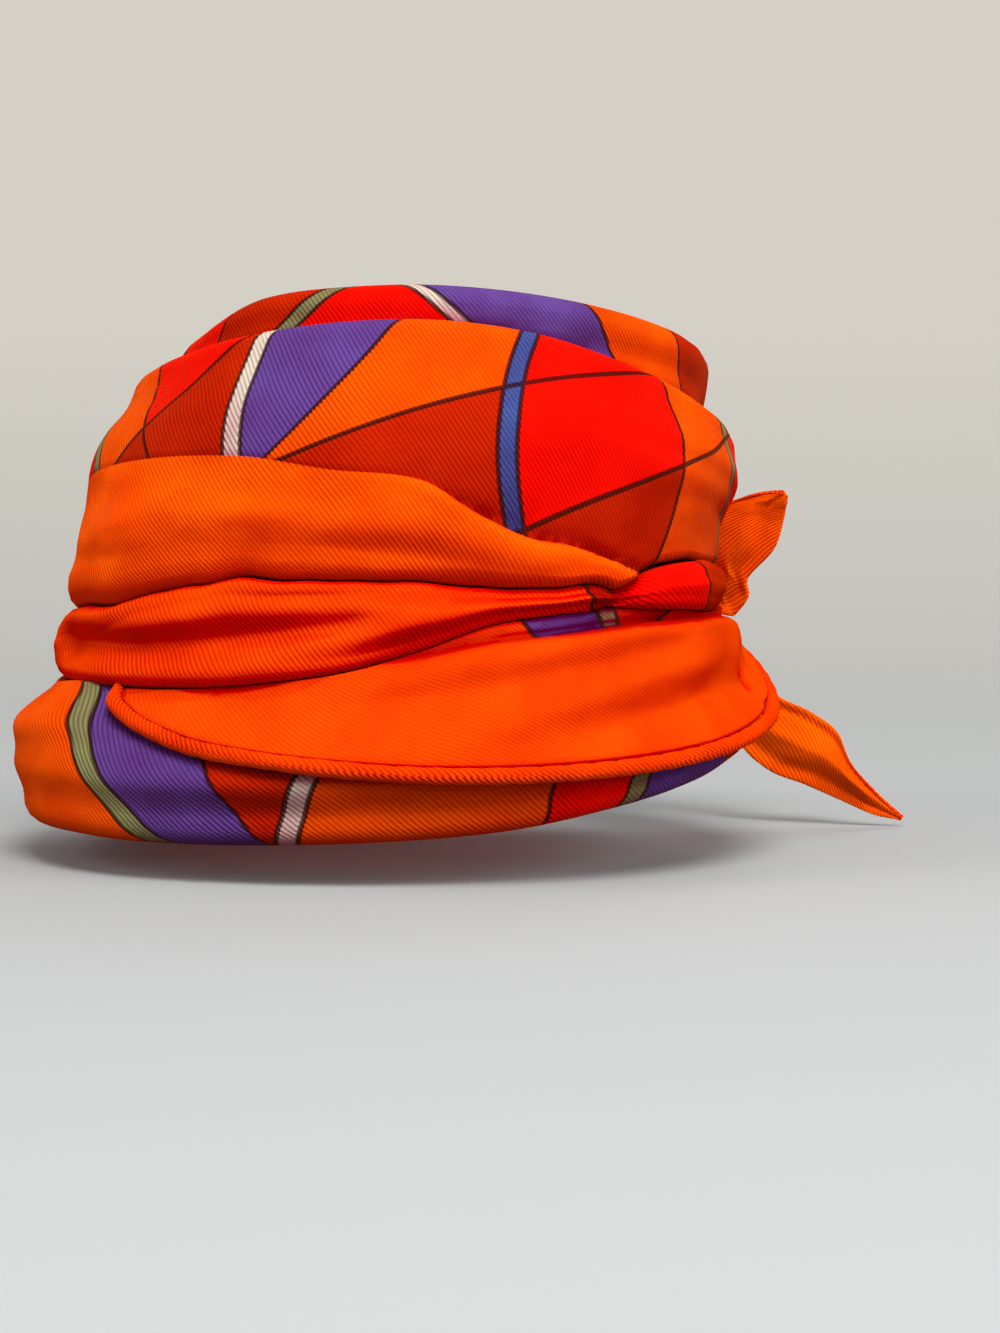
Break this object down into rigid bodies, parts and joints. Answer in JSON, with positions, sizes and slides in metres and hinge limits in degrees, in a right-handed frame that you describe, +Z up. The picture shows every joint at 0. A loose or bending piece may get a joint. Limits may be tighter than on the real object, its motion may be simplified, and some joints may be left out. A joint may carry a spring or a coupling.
{
  "type": "silk square scarf",
  "caption": "Silk twill square folded into a band, wound twice round a neck and knotted at the side, with a rolled hem and two short tails.",
  "frame": {"origin": "middle of the neck hollow, where the neck it is wound on passes through", "axes": "+Z up along the neck, -Y the nape side, +X the side of the knot"},
  "size_m": [0.158, 0.1292, 0.0945],
  "materials": {
    "printed_silk": "silk twill, printed in flat colour panels with thin dark outlines, soft sheen",
    "border_silk": "plain orange silk twill, diagonal rib, soft sheen",
    "hem_silk": "hand-rolled hem of the same orange silk"
  },
  "bodies": {
    "root": {"inner_turn": "printed_silk", "outer_turn": "printed_silk", "border_pleat": "border_silk", "side_fold": "printed_silk", "border_flap": "border_silk", "rolled_hem": "hem_silk", "base_turn": "printed_silk", "knot": "border_silk", "tail_upper": "border_silk", "tail_lower": "border_silk"}
  },
  "joints": []
}
